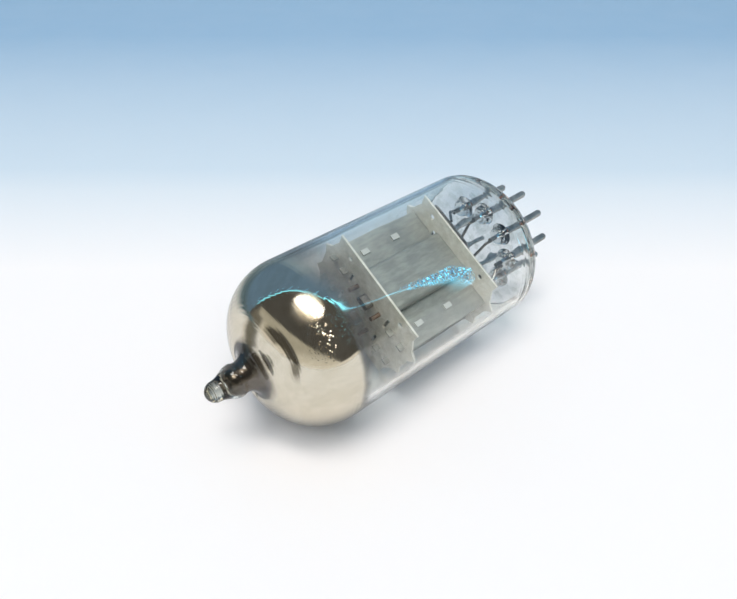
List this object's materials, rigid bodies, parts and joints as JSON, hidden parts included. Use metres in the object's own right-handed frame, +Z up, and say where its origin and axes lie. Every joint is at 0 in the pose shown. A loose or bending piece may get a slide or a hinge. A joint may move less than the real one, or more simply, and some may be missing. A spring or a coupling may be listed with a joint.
{
  "type": "twin triode tube",
  "caption": "Clear glass electron tube with a domed bulb, drawn tip, silvery getter, two boxed anodes between mica discs and a pin base.",
  "frame": {"origin": "centre of the pin circle on the seating plane, the flat underside of the glass base", "axes": "+Z up the tube's axis to the exhaust tip; +X through the wide gap in the pin circle; the two triode units lie at -Y and +Y"},
  "size_m": [0.0218, 0.0218, 0.0548],
  "materials": {
    "bulb_glass": "clear blown glass",
    "base_glass": "clear pressed glass",
    "getter_mirror": "dark metal mirror, smoky at its edge",
    "pin_metal": "grey, slightly dull",
    "mica": "silky mica sheet, slightly translucent",
    "anode_sheet": "matt grey sheet",
    "grid_rod_metal": "drawn copper rod",
    "grid_wire_metal": "fine bright wire",
    "cathode_coating": "nickel sleeve with a white coating",
    "heater_coating": "white coating on a folded wire",
    "getter_metal": "nickel, dulled by heat",
    "wire_metal": "drawn nickel wire"
  },
  "bodies": {
    "root": {"envelope": "bulb_glass", "base_button": "base_glass", "getter_film": "getter_mirror", "pin_1": "pin_metal", "pin_2": "pin_metal", "pin_3": "pin_metal", "pin_4": "pin_metal", "pin_5": "pin_metal", "pin_6": "pin_metal", "pin_7": "pin_metal", "pin_8": "pin_metal", "pin_9": "pin_metal", "mica_lower": "mica", "mica_upper": "mica", "anode_front_outer": "anode_sheet", "anode_front_inner": "anode_sheet", "anode_back_outer": "anode_sheet", "anode_back_inner": "anode_sheet", "grid_rod_front_left": "grid_rod_metal", "grid_rod_front_right": "grid_rod_metal", "grid_rod_back_left": "grid_rod_metal", "grid_rod_back_right": "grid_rod_metal", "grid_wire_front": "grid_wire_metal", "grid_wire_back": "grid_wire_metal", "cathode_front": "cathode_coating", "cathode_back": "cathode_coating", "heater_front": "heater_coating", "heater_back": "heater_coating", "anode_lead_front": "wire_metal", "anode_lead_back": "wire_metal", "grid_lead_front": "wire_metal", "grid_lead_back": "wire_metal", "cathode_lead_front": "wire_metal", "cathode_lead_back": "wire_metal", "heater_lead_front": "wire_metal", "heater_lead_back": "wire_metal", "heater_bus": "wire_metal", "heater_tap": "wire_metal", "getter_ring": "getter_metal", "getter_post": "getter_metal"}
  },
  "joints": []
}
